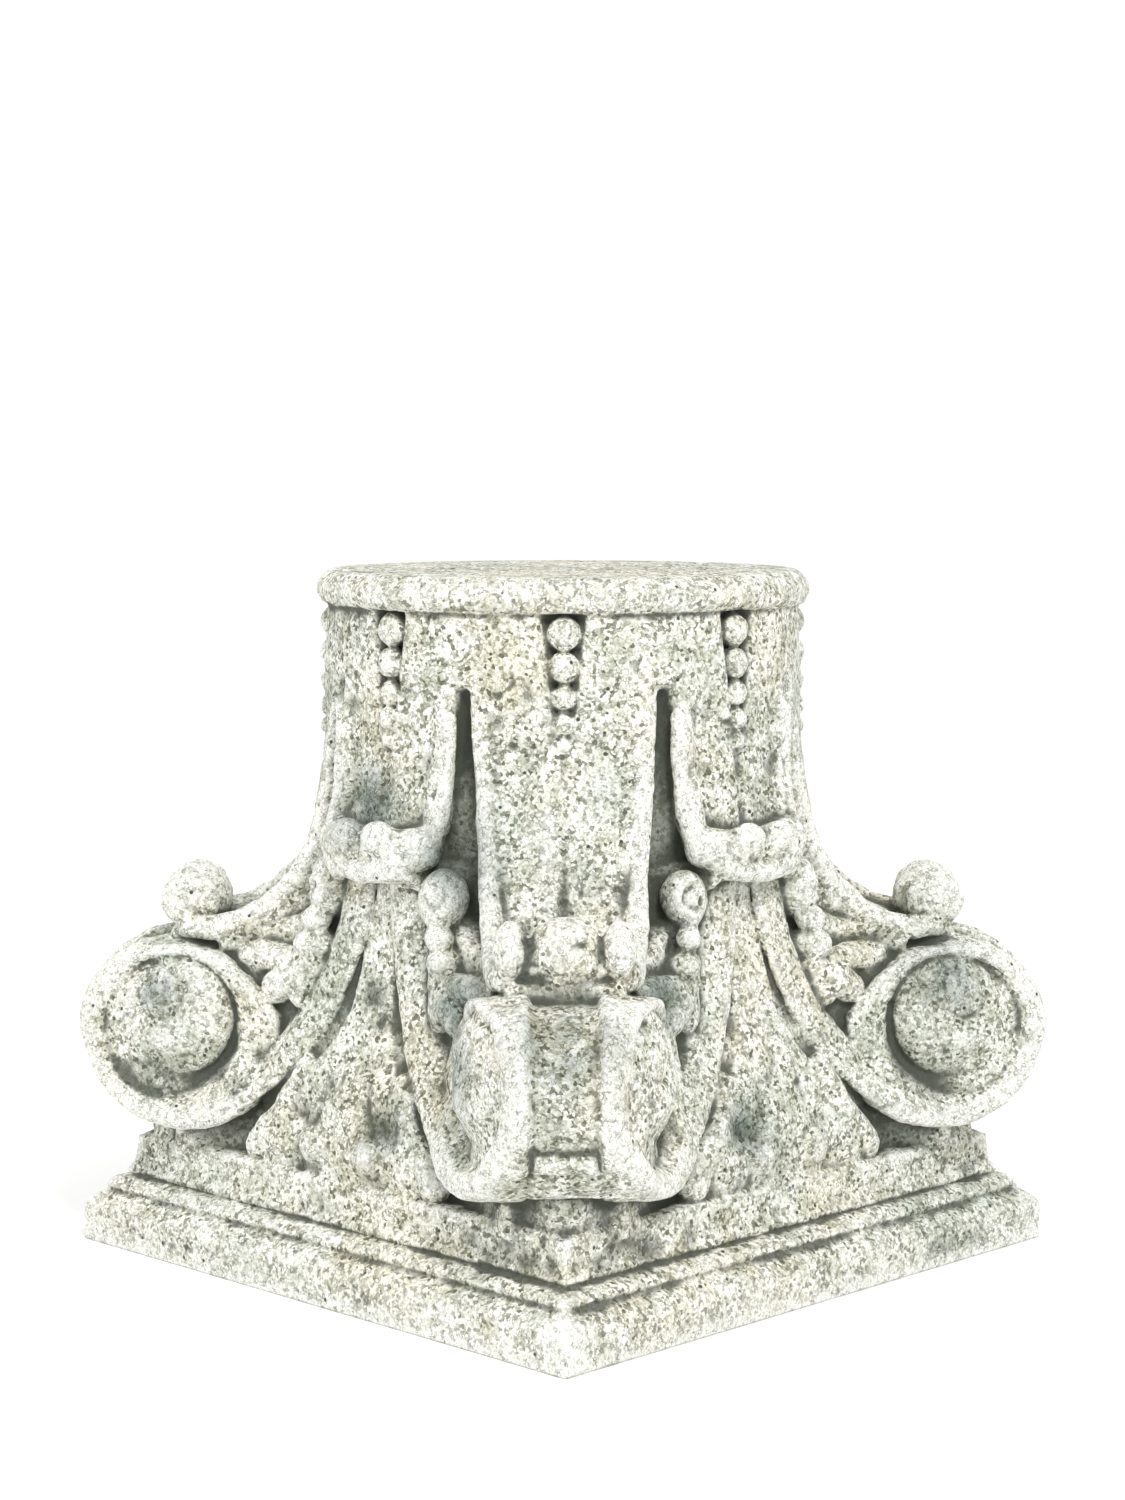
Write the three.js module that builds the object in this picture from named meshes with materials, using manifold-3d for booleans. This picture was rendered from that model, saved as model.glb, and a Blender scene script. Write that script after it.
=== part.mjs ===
// Column base of cast stone: an upturned scrolled capital on its square moulded plinth, one casting.
// Millimetres, Z up, the plinth's underside on Z = 0 and its sides along X and Y.
import * as THREE from 'three';
import { mergeVertices } from 'three/addons/utils/BufferGeometryUtils.js';
import Module from 'manifold-3d';

// Overall sizes
const PLINTH_WIDTH = 406;
const TOTAL_HEIGHT = 400;

// Plinth
const PLINTH_HEIGHT = 65;
const LOWER_BAND_HEIGHT = 21;
const UPPER_BAND_HEIGHT = 20;
const UPPER_BAND_WIDTH = 360;
const PLINTH_STEP = 3.5;

// Neck and the ring round its top
const NECK_RADIUS = 139;
const RING_RADIUS = 144;
const RING_HEIGHT = 20;
const TOP_RADIUS = 136;

// Leaves round the neck
const LEAF_TOP = 334;
const LEAF_RELIEF = 11;
const LEAF_SLOT = 5.5;
const LEAF_RIM = 2.2;
const BEAD_PROUD = 4.5;

// Corner scrolls
const SCROLL_RADIUS = 56;
const SCROLL_REACH = 284.5;
const SCROLL_EDGE_WIDTH = 65;
const SCROLL_HEIGHT = 134;
const SIDE_SPLAY = 0.4;
const CHANNEL_WIDTH = 38;
const CHANNEL_DEPTH = 5;
const BAND_WIDTH = 17;
const BAND_RELIEF = 9;
const BOSS_RADIUS = 31;

// Everything carved finer is kept as a share of the plinth's width
const share = (part) => part * PLINTH_WIDTH;

const BELL_SIDES = 28;
const CORNERS = 4;
const QUARTER = Math.PI / 2;
const EIGHTH = Math.PI / 4;
const SEAM = 1;

const wasm = await Module();
wasm.setup();

// Geometry helpers

function volumeOf(geometry) {
  const point = geometry.attributes.position;
  const index = geometry.index;
  const [a, b, c] = [new THREE.Vector3(), new THREE.Vector3(), new THREE.Vector3()];
  let volume = 0;
  for (let i = 0; i < index.count; i += 3) {
    a.fromBufferAttribute(point, index.getX(i));
    b.fromBufferAttribute(point, index.getX(i + 1));
    c.fromBufferAttribute(point, index.getX(i + 2));
    volume += a.dot(b.cross(c)) / 6;
  }
  return volume;
}

function facingOut(source) {
  source.deleteAttribute('normal');
  source.deleteAttribute('uv');
  const geometry = mergeVertices(source, 1e-3);
  if (volumeOf(geometry) < 0) {
    const index = geometry.index;
    for (let i = 0; i < index.count; i += 3) {
      const first = index.getX(i);
      index.setX(i, index.getX(i + 1));
      index.setX(i + 1, first);
    }
  }
  return geometry;
}

function loft(rings) {
  // Skin over rings of equal count, closed at both ends by a fan.
  const count = rings[0].length;
  const points = rings.flat(2);
  const faces = [];
  for (let i = 0; i + 1 < rings.length; i += 1) {
    for (let j = 0; j < count; j += 1) {
      const here = i * count + j;
      const beside = i * count + ((j + 1) % count);
      faces.push(here, beside, here + count);
      faces.push(beside, beside + count, here + count);
    }
  }
  const ends = [rings[0], rings[rings.length - 1]];
  ends.forEach((ring, end) => {
    const middle = points.length / 3;
    for (const axis of [0, 1, 2]) {
      points.push(ring.reduce((sum, point) => sum + point[axis], 0) / count);
    }
    const start = end * (rings.length - 1) * count;
    for (let j = 0; j < count; j += 1) {
      const here = start + j;
      const beside = start + ((j + 1) % count);
      faces.push(...(end ? [here, beside, middle] : [beside, here, middle]));
    }
  });
  const geometry = new THREE.BufferGeometry();
  geometry.setAttribute('position', new THREE.Float32BufferAttribute(points, 3));
  geometry.setIndex(faces);
  return facingOut(geometry);
}

function turnedAboutZ(profile, sides, start = 0) {
  const points = profile.map(([radius, height]) => new THREE.Vector2(radius, height));
  const geometry = new THREE.LatheGeometry(points, sides, start);
  geometry.rotateX(QUARTER);
  return facingOut(geometry);
}

function mirrored(geometry) {
  const copy = geometry.clone();
  copy.scale(1, -1, 1);
  return facingOut(copy);
}

function roundedLump([a, b, z], [out, side, up], around = 6, rows = 4) {
  const geometry = new THREE.SphereGeometry(1, around, rows);
  geometry.rotateX(QUARTER);
  geometry.scale(out, side, up);
  geometry.translate(a, b, z);
  return facingOut(geometry);
}

function solid(geometry) {
  const mesh = new wasm.Mesh({
    numProp: 3,
    vertProperties: new Float32Array(geometry.attributes.position.array),
    triVerts: new Uint32Array(geometry.index.array),
  });
  return new wasm.Manifold(mesh);
}

function joined(solids) {
  return solids.reduce((whole, piece) => whole.add(piece));
}

function geometryOf(manifold) {
  const mesh = manifold.getMesh();
  const geometry = new THREE.BufferGeometry();
  geometry.setAttribute('position', new THREE.Float32BufferAttribute(mesh.vertProperties, 3));
  geometry.setIndex(new THREE.Uint32BufferAttribute(mesh.triVerts, 1));
  return geometry;
}

function bezier([p, q, r, s], t) {
  const u = 1 - t;
  return [0, 1].map((k) => u * u * u * p[k] + 3 * u * u * t * q[k] + 3 * u * t * t * r[k] + t * t * t * s[k]);
}

// Plinth: two flat bands with a swelling moulding between them

function plinth() {
  const half = PLINTH_WIDTH / 2;
  const upper = UPPER_BAND_WIDTH / 2;
  const swellTop = PLINTH_HEIGHT - UPPER_BAND_HEIGHT;
  const swellStart = half - PLINTH_STEP / 2;
  const swellEnd = upper + PLINTH_STEP;
  const profile = [[0, 0], [half, 0], [half, LOWER_BAND_HEIGHT]];
  const steps = 5;
  for (let i = 0; i <= steps; i += 1) {
    const t = i / steps;
    const inward = (1 - Math.cos(t * Math.PI)) / 2;
    const radius = swellStart + (swellEnd - swellStart) * (0.35 * inward + 0.65 * t);
    profile.push([radius, LOWER_BAND_HEIGHT + (swellTop - LOWER_BAND_HEIGHT) * (0.08 + 0.92 * t)]);
  }
  profile.push([upper, swellTop + SEAM], [upper, PLINTH_HEIGHT], [0, PLINTH_HEIGHT]);
  const square = profile.map(([radius, height]) => [radius * Math.SQRT2, height]);
  return turnedAboutZ(square, CORNERS, EIGHTH);
}

// Bell: the round core with the neck and the ring on top

function bell() {
  const coreRadius = NECK_RADIUS + SEAM - LEAF_RELIEF;
  const swell = [[1.30, 0.15], [1.25, 0.27], [1.10, 0.41], [1, 0.55]];
  const core = swell.map(([wider, height]) => [coreRadius * wider, share(height)]);
  const ringFoot = TOTAL_HEIGHT - RING_HEIGHT;
  const profile = [[0, share(0.15)], ...core, [coreRadius, LEAF_TOP - 6]];
  profile.push([NECK_RADIUS, LEAF_TOP + 2], [NECK_RADIUS, ringFoot]);
  profile.push([NECK_RADIUS + (RING_RADIUS - NECK_RADIUS) * 0.7, ringFoot + RING_HEIGHT * 0.12]);
  profile.push([RING_RADIUS, ringFoot + RING_HEIGHT * 0.42]);
  profile.push([(RING_RADIUS + TOP_RADIUS) / 2, ringFoot + RING_HEIGHT * 0.85]);
  profile.push([TOP_RADIUS, TOTAL_HEIGHT], [0, TOTAL_HEIGHT]);
  return turnedAboutZ(profile, BELL_SIDES);
}

// Leaves: a face between two raised rims, following the bell downwards and then outwards

const neckCurve = (b) => NECK_RADIUS - Math.sqrt(NECK_RADIUS * NECK_RADIUS - b * b);

function leafRing(out, up, lean, halfWidth, thickness, relief) {
  // One cross-section: out and up place its middle, lean is the tilt of the face's outward normal.
  const across = [[-0.97, relief / 2], [-0.88, relief], [-0.72, -relief / 4], [0, -relief]];
  const half = across.map(([side, lift]) => [side * halfWidth, lift]);
  const front = half.concat(half.slice(0, 3).reverse().map(([side, lift]) => [-side, lift]));
  const back = [[0.97, -thickness], [-0.97, -thickness]];
  const outline = front.concat(back.map(([side, lift]) => [side * halfWidth, lift]));
  return outline.map(([b, lift]) => [
    out - neckCurve(b) + lift * Math.cos(lean),
    b,
    up + lift * Math.sin(lean),
  ]);
}

function leaf(path, widths, thicknesses) {
  const rings = path.map(([out, up], i) => {
    const before = path[Math.max(i - 1, 0)];
    const after = path[Math.min(i + 1, path.length - 1)];
    const lean = Math.atan2(after[0] - before[0], before[1] - after[1]);
    const t = i / (path.length - 1);
    return leafRing(out, up, lean, widths(t), thicknesses(t), LEAF_RIM * Math.min(1, t * 2.5));
  });
  return loft(rings);
}

function slotHalfWidth() {
  return NECK_RADIUS * Math.tan(EIGHTH / 2) - LEAF_SLOT;
}

const leafStart = () => [NECK_RADIUS - SEAM, LEAF_TOP + 12];

function cornerLeaf() {
  const pull = [[NECK_RADIUS + SEAM * 2, share(0.60)], [share(0.395), share(0.512)]];
  const notch = [share(0.470), share(0.490)];
  const path = [];
  const steps = 6;
  for (let i = 0; i <= steps; i += 1) {
    path.push(bezier([leafStart(), ...pull, notch], i / steps));
  }
  path.push([share(0.530), share(0.476)], [share(0.566), share(0.488)]);
  const widths = (t) => slotHalfWidth() * (1 - 0.22 * t - 0.12 * Math.max(0, t - 0.85) / 0.15);
  const thicknesses = (t) => LEAF_RELIEF + share(0.014) * Math.min(1, t * 1.5);
  return leaf(path, widths, thicknesses);
}

function lobedRoll([a, z], radius, halfWidth, lobes, around) {
  // A rolled leaf end lying across the leaf, thick at every lobe and thin between them.
  const mirroredLobes = lobes.slice(0, -1).reverse().map(([side, swell]) => [-side, swell]);
  return loft(lobes.concat(mirroredLobes).map(([side, swell]) => Array.from({ length: around }, (_, i) => {
    const turn = (i / around) * Math.PI * 2;
    return [a + radius * swell * Math.cos(turn), side * halfWidth, z + radius * swell * Math.sin(turn)];
  })));
}

function leafTip() {
  const lobes = [[-1, 0.5], [-0.75, 0.82], [-0.55, 0.64], [-0.35, 1], [0, 1.02]];
  return lobedRoll([share(0.529), share(0.510)], share(0.048), share(0.088), lobes, 6);
}

function sideLeaf() {
  const path = [];
  const steps = 4;
  const end = [share(0.375), share(0.60)];
  const pull = [[NECK_RADIUS + SEAM * 2, share(0.72)], [share(0.352), share(0.64)]];
  for (let i = 0; i <= steps; i += 1) {
    path.push(bezier([leafStart(), ...pull, end], i / steps));
  }
  const widths = (t) => slotHalfWidth() * (1 - 0.14 * t * t);
  const thicknesses = () => LEAF_RELIEF + share(0.012);
  return leaf(path, widths, thicknesses);
}

function sideLeafRoll() {
  const lobes = [[-1, 0.45], [-0.75, 0.85], [-0.27, 1.2], [0, 0.95]];
  return lobedRoll([share(0.374), share(0.612)], share(0.032), share(0.108), lobes, 6);
}

// Beads: a string of shrinking drops down the middle of every leaf

function beads() {
  const sizes = [0.0235, 0.021, 0.0175, 0.0155];
  const sides = 5;
  let top = TOTAL_HEIGHT - RING_HEIGHT - share(0.003);
  const rings = [];
  const addRing = (z, radius, proud) => rings.push({ z, radius, out: NECK_RADIUS + proud - radius });
  for (const size of sizes) {
    const radius = share(size) * 1.08;
    addRing(top, radius / 2, 0);
    addRing(top - share(size), radius, BEAD_PROUD);
    top -= share(size) * 2;
  }
  addRing(top, share(0.004), 0);
  return loft(rings.map(({ z, radius, out }) => Array.from({ length: sides }, (_, i) => {
    const turn = (i / sides) * Math.PI * 2;
    return [out + radius * Math.cos(turn), radius * Math.sin(turn), z];
  })));
}

// Corner scrolls: a drum with splayed faces, a hollow edge, and a rim and a boss on each face

const scrollCentre = () => [SCROLL_REACH - SCROLL_RADIUS, SCROLL_HEIGHT];
const faceAt = (a) => SCROLL_EDGE_WIDTH / 2 + SIDE_SPLAY * (SCROLL_REACH - a);

function scroll() {
  const [centreA, centreZ] = scrollCentre();
  const [bossA, bossZ] = [share(0.010), share(0.017)];
  const inside = SCROLL_RADIUS - BAND_WIDTH;
  const half = CHANNEL_WIDTH / 2;
  const rows = [
    { radius: BOSS_RADIUS * 0.45, shift: 1, lift: 2 },
    { radius: BOSS_RADIUS * 0.85, shift: 1, lift: -2.5 },
    { radius: BOSS_RADIUS, shift: 1, lift: -BAND_RELIEF },
    { radius: inside - 3, shift: 0.4, lift: -BAND_RELIEF },
    { radius: inside, shift: 0.4, lift: -1 },
    { radius: SCROLL_RADIUS - 1, shift: 0, lift: -1 },
    { radius: SCROLL_RADIUS, shift: 0, level: half + 3 },
    { radius: SCROLL_RADIUS - CHANNEL_DEPTH, shift: 0, level: half },
  ];
  const sides = 16;
  const ringAt = ({ radius, shift, lift, level }, sign) => Array.from({ length: sides }, (_, i) => {
    const turn = (i / sides) * Math.PI * 2;
    const a = centreA + bossA * shift + radius * Math.cos(turn);
    const b = level === undefined ? faceAt(a) + lift : level;
    return [a, sign * b, centreZ + bossZ * shift + radius * Math.sin(turn)];
  });
  const front = rows.map((row) => ringAt(row, -1));
  const back = rows.map((row) => ringAt(row, 1)).reverse();
  return loft([...front, ...back]);
}

function haunch() {
  // The block of stone that ties a scroll back to the bell, under the corner leaf.
  const inner = share(0.20);
  const outer = share(0.56);
  const slab = (a, depth, low, high) => {
    const b = faceAt(a) - depth;
    return [[a, -b, low], [a, b, low], [a, b, high], [a, -b, high]];
  };
  const sunk = BAND_RELIEF * 2;
  const body = loft([
    slab(inner, sunk, PLINTH_HEIGHT - SEAM, share(0.50)),
    slab(share(0.40), sunk, PLINTH_HEIGHT - SEAM, share(0.45)),
    slab(outer, sunk, PLINTH_HEIGHT - SEAM, share(0.40)),
  ]);
  const web = (a, low, high) => {
    const b = share(0.078);
    return [[a, -b, low], [a, b, low], [a, b, high], [a, -b, high]];
  };
  const neck = loft([
    web(inner, share(0.40), share(0.56)),
    web(share(0.40), share(0.40), share(0.50)),
    web(share(0.56), share(0.40), share(0.465)),
  ]);
  return [body, neck];
}

function stem() {
  // A band that leaves the bell under the side leaf and runs down and out into the scroll's rim.
  const [centreA, centreZ] = scrollCentre();
  const meetAngle = Math.PI * 1.36;
  const onRim = (angle, proud) => [
    centreA + (SCROLL_RADIUS + proud) * Math.cos(angle),
    centreZ + (SCROLL_RADIUS + proud) * Math.sin(angle),
  ];
  const meet = onRim(meetAngle, SEAM);
  const reach = share(0.13);
  const before = [meet[0] + Math.sin(meetAngle) * reach, meet[1] - Math.cos(meetAngle) * reach];
  const curve = [[share(0.258), share(0.56)], [share(0.268), share(0.40)], before, meet];
  const steps = 4;
  const edge = [];
  for (let i = 0; i <= steps; i += 1) {
    edge.push(bezier(curve, i / steps));
  }
  edge.push(onRim(meetAngle + 0.5, -SEAM * 7));
  const deep = BAND_RELIEF * 2.6;
  const rings = edge.map((point, i) => {
    const from = edge[Math.max(i - 1, 0)];
    const to = edge[Math.min(i + 1, edge.length - 1)];
    const length = Math.hypot(to[0] - from[0], to[1] - from[1]);
    const inward = [-(to[1] - from[1]) / length, (to[0] - from[0]) / length];
    const width = BAND_WIDTH * (i > steps ? 1.1 - 0.25 * (i - steps) : 1.1);
    const section = [[0.1, -deep], [0, -3], [0.3, 1], [1, -BAND_RELIEF * 0.5], [0.9, -deep]];
    return section.map(([across, lift]) => {
      const a = point[0] + inward[0] * width * across;
      const z = point[1] + inward[1] * width * across;
      return [a, faceAt(a) + lift, z];
    });
  });
  return loft(rings);
}

function footTongue() {
  // The little tongue that closes the hollow edge at the foot of a scroll.
  const [centreA, centreZ] = scrollCentre();
  const rings = [1.76, 1.81, 1.86].map((turn, i) => {
    const angle = Math.PI * turn;
    const halfWidth = CHANNEL_WIDTH / 2 - 1.5 + (2 - i) * 1.2;
    return [[-1, -8], [1, -8], [0.9, 0.5], [-0.9, 0.5]].map(([side, lift]) => {
      const radius = SCROLL_RADIUS + lift;
      return [centreA + radius * Math.cos(angle), side * halfWidth, centreZ + radius * Math.sin(angle)];
    });
  });
  return loft(rings);
}

// Husks: a curl, a bud and a small three-pointed leaf between corner leaf and stem

function husks() {
  const turn = THREE.MathUtils.degToRad(26);
  const out = NECK_RADIUS + share(0.010);
  const middle = [out * Math.cos(turn), out * Math.sin(turn), share(0.545)];
  const curl = roundedLump(middle, [share(0.046), share(0.033), share(0.041)]);
  const bud = roundedLump([share(0.345), share(0.157), share(0.467)], [share(0.030), share(0.024), share(0.0215)]);
  const base = share(0.06);
  const outline = [[0.335, 0.436], [0.466, 0.428], [0.425, 0.400], [0.392, 0.388], [0.374, 0.362], [0.352, 0.395]];
  const front = outline.map(([a, z], i) => [share(a), share(0.178 - (a - 0.335) * 0.55) + (i % 2) * -1, share(z)]);
  const back = front.map(([a, b, z]) => [a - base * 0.2, b - base, z]);
  return [curl, bud, loft([back, front])];
}

// Palmette: the lobed panel between two stems in the middle of every side

function palmette() {
  // Rows go up the panel; the lifts across a row make a middle rib, two round lobes and two petals.
  const rows = [
    { height: 0.152, half: 0.196, out: 0.424, lobes: [0.2, 1, 0.4, 1, 0.2] },
    { height: 0.200, half: 0.205, out: 0.428, lobes: [0.8, 1.4, 0, 1.6, 0.3] },
    { height: 0.280, half: 0.115, out: 0.414, lobes: [0, 0.2, 0.2, 0.3, 0.8] },
    { height: 0.350, half: 0.060, out: 0.388, lobes: [0, 0.2, 0.3, 0.2, 0.6] },
  ];
  const relief = share(0.012);
  const places = [1, 0.8, 0.62, 0.3, 0];
  const rings = rows.map(({ height, half, out, lobes }) => {
    const edge = places.map((side, i) => [share(out) + relief * lobes[i], side * share(half), share(height)]);
    const across = edge.concat(edge.slice(0, -1).reverse().map(([n, side, z]) => [n, -side, z]));
    const back = [[share(0.36), -share(half), share(height)], [share(0.36), share(half), share(height)]];
    return across.concat(back);
  });
  return loft(rings);
}

function palmetteHollow() {
  return roundedLump([share(0.430), share(0.082), share(0.250)], [share(0.024), share(0.022), share(0.018)]);
}

// Assembly of the one casting

function cornerPieces() {
  const oneSide = [stem(), ...husks()];
  return [scroll(), ...haunch(), footTongue(), cornerLeaf(), leafTip(), ...oneSide, ...oneSide.map(mirrored)];
}

function sidePieces() {
  return [sideLeaf(), sideLeafRoll(), palmette()];
}

function roundTheAxis(pieces, start) {
  const copies = [];
  for (let i = 0; i < CORNERS; i += 1) {
    for (const piece of pieces) {
      const copy = piece.clone();
      copy.rotateZ(start + i * QUARTER);
      copies.push(solid(copy));
    }
  }
  return copies;
}

function columnBase() {
  const hollow = palmetteHollow();
  let whole = solid(plinth()).add(solid(bell()));
  whole = whole.add(joined(roundTheAxis(cornerPieces(), EIGHTH)));
  whole = whole.add(joined(roundTheAxis(sidePieces(), 0)));
  whole = whole.subtract(joined(roundTheAxis([hollow, mirrored(hollow)], 0)));
  for (const start of [0, EIGHTH]) {
    whole = whole.add(joined(roundTheAxis([beads()], start)));
  }
  return whole;
}

const castStone = new THREE.MeshStandardMaterial({ color: 0xd5d6c4, roughness: 0.95, metalness: 0 });
castStone.name = 'cast_stone';

const model = new THREE.Group();
model.name = 'column_base_assembly';
const base = new THREE.Mesh(geometryOf(columnBase()), castStone);
base.name = 'column_base';
model.add(base);

export default model;
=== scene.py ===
# Column base of weathered cast stone: an upturned scrolled capital on its square moulded plinth.
# The whole casting is carved as one distance field over a quarter of the block, mirrored to the
# other three quarters, skinned, worn and coloured. Lengths in the carving are shares of the
# plinth's width; metres come in only when the skin is made.
import math

import bpy
import numpy as np
import openvdb
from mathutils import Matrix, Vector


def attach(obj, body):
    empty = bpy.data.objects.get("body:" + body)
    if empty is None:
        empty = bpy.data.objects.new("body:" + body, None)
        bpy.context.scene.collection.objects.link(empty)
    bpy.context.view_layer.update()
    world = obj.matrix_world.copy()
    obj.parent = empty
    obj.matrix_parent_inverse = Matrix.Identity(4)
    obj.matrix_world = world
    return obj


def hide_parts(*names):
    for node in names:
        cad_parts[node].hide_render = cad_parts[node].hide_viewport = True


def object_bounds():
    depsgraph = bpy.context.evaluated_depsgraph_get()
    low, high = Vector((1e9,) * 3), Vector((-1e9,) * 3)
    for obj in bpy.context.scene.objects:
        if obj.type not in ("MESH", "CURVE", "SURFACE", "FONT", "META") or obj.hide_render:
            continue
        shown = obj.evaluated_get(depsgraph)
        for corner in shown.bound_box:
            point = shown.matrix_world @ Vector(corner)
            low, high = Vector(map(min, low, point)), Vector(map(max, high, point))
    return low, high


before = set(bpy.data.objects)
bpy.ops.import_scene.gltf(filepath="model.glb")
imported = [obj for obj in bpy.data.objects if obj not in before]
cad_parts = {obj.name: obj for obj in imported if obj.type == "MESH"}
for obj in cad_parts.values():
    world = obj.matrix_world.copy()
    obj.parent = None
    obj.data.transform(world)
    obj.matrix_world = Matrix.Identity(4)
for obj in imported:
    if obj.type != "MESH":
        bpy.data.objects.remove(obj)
CAD_LOW, CAD_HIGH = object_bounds()

# Size of the plinth and of the grid's cells in metres, and of the skin in triangles
PLINTH_WIDTH = 0.406
VOXEL = 0.0017
SKIN_TRIANGLES = 195000

# Grid of one quarter block, with a few cells under the floor
GRID_REACH = 0.562
GRID_HEIGHT = 1.0
CELLS_BELOW = 4
OPEN_AIR = 0.05
ROOT_HALF = math.sqrt(0.5)

# The field of a sloping or carved face rises faster than distance does, and this evens it out
SLOPED = 0.8

# Plinth, as height and half width: lower band, two rounds with a crease over each, upper band
PLINTH_HEIGHT = 0.160
PLINTH_PROFILE = [(0, 0.5), (0.050, 0.4995), (0.053, 0.4983), (0.058, 0.4958), (0.065, 0.4905)]
PLINTH_PROFILE += [(0.0715, 0.4835), (0.0745, 0.4740), (0.0760, 0.4700), (0.0780, 0.4745), (0.082, 0.4765)]
PLINTH_PROFILE += [(0.089, 0.4720), (0.0945, 0.4635), (0.0965, 0.4480), (0.1000, 0.4510), (0.104, 0.4525)]
PLINTH_PROFILE += [(0.111, 0.4475), (0.120, 0.4440), (0.15, 0.4425)]

# Bell, neck and ring, as height and radius
NECK = 0.342
CORE = 0.316
RING = 0.3545
TOP = 0.985
BELL_FOOT = 0.12
BELL_PROFILE = [(0.10, 0.41), (0.16, 0.41), (0.25, 0.402), (0.33, 0.386), (0.40, 0.366), (0.46, 0.348)]
BELL_PROFILE += [(0.52, 0.332), (0.58, 0.319), (0.80, CORE), (0.822, CORE), (0.842, NECK), (0.925, 0.3395)]
BELL_PROFILE += [(0.932, 0.338), (0.937, 0.339)]
RING_PROFILE = [(0.939, 0.3465), (0.943, 0.3505), (0.950, 0.3535), (0.958, RING), (0.966, 0.3530)]
RING_PROFILE += [(0.973, 0.3490), (0.979, 0.3440), (0.984, 0.3370)]

# Leaves: half widths are given at the head and at the tip
LEAF_RIM = 0.0085
LEAF_VEIN = 0.0045
CORNER_LEAF_HALF = (0.129, 0.099)
CORNER_LEAF_THICKNESS = 0.0205
CORNER_LEAF_HOLLOW = 0.0045
SIDE_LEAF_HALF = (0.113, 0.088)
SIDE_LEAF_THICKNESS = 0.017
SIDE_LEAF_HOLLOW = 0.005

# Round holes at the head of the slots between leaves
SLOT_TURN = math.radians(23.7)
SLOT_UP = 0.823
SLOT_RADIUS = 0.0095
SLOT_BACK = 0.322

# Strings of beads, from the ring down, and the groove each string lies in
BEAD_RADII = [0.0240, 0.0225, 0.0187, 0.0172, 0.0115]
BEAD_TOP = 0.9345
BEAD_SPACING = 1.99
BEAD_PROUD = 0.0085
GROOVE_HALF = 0.038
GROOVE_FOOT = 0.746
GROOVE_HEAD = 0.93
GROOVE_BACK = 0.024

# Corner scrolls: turns run in degrees from the foot, outwards and up to the top, then back inwards
SCROLL_OUT = 0.5616
SCROLL_UP = 0.330
SCROLL_START = -100
SCROLL_EDGE = [(-100, 0.165), (-60, 0.165), (-40, 0.153), (-25, 0.145), (0, 0.137), (20, 0.134)]
SCROLL_EDGE += [(45, 0.130), (70, 0.133), (90, 0.139), (110, 0.138), (135, 0.132), (150, 0.129)]
SCROLL_EDGE += [(165, 0.130), (180, 0.132), (200, 0.135), (215, 0.136), (230, 0.137), (245, 0.148)]
SCROLL_EDGE += [(260, 0.165)]

# Inner edge of the scroll's band, height of its crest and of the floor inside it, by turn
BAND_INNER = [(-100, 0.098), (-50, 0.098), (-20, 0.101), (20, 0.098), (90, 0.100), (135, 0.103)]
BAND_INNER += [(180, 0.110), (205, 0.114), (225, 0.109), (245, 0.105), (260, 0.101)]
BAND_CREST = [(-100, -0.044), (-80, -0.036), (-60, -0.018), (-45, -0.006), (-25, -0.002), (135, -0.002)]
BAND_CREST += [(150, -0.006), (165, -0.011), (180, -0.016), (205, -0.026), (228, -0.038), (260, -0.044)]
BAND_FLOOR = [(-100, -0.052), (-60, -0.050), (-40, -0.040), (-15, -0.026), (20, -0.015), (60, -0.011)]
BAND_FLOOR += [(135, -0.014), (165, -0.021), (185, -0.034), (205, -0.047), (260, -0.052)]

# Faces of the scrolls, which splay from the outer edge inwards, and the boss with its spiral line
EDGE_HALF = 0.080
SPLAY = 0.40
REACH = 0.7007
CHANNEL_HALF = 0.049
CHANNEL_DEPTH = 0.0125
BOSS = 0.105
BOSS_OUT = 0.572
BOSS_UP = 0.352
BOSS_SUNK = 0.054
BOSS_RISE = 0.051
EYE_OUT = 0.577
EYE_UP = 0.384
SPIRAL_DEPTH = 0.0055

# Stems, and the husks between stem and leaf
STEM_HALF = 0.0210
HUSK_OUT = 0.322
HUSK_SIDE = 0.162
HUSK_UP = 0.547
HUSK_FACING = (0.893, 0.449)

# Palmettes, as height, half width and how far out the face lies; their petals fan out from one point
PALMETTE = [(0.150, 0.198, 0.434), (0.200, 0.186, 0.438), (0.235, 0.154, 0.433), (0.280, 0.110, 0.421)]
PALMETTE += [(0.330, 0.066, 0.402), (0.380, 0.044, 0.382), (0.400, 0.042, 0.374), (0.500, 0.031, 0.352)]
PALMETTE += [(0.560, 0.026, 0.346)]
FAN_UP = 0.400
PETAL_TURN = 19
BED_MARGIN = 0.045

# Wear, in metres: depth and size of the marks
ROUGHNESS = [(0.0009, 0.055), (0.0006, 0.014), (0.0004, 0.0065), (0.00030, 0.0032)]
RUBBED = (0.0016, 0.022)
CHIPS = (0.0022, 0.011)
PITS = (0.0009, 0.0058)
UNWORN_FOOT = (0.0005, 0.0040)
TOP_CLEARANCE = 0.0003

# Large factors that scatter the noise's values
AXIS_FACTORS = (73856093, 19349663, 83492791)
SEED_FACTOR = 2654435761
MIX_FACTOR = 1274126177

# How far round a point the two hollow maps look, in metres
NEAR_REACH = 0.0035
FAR_REACH = 0.0120

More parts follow.
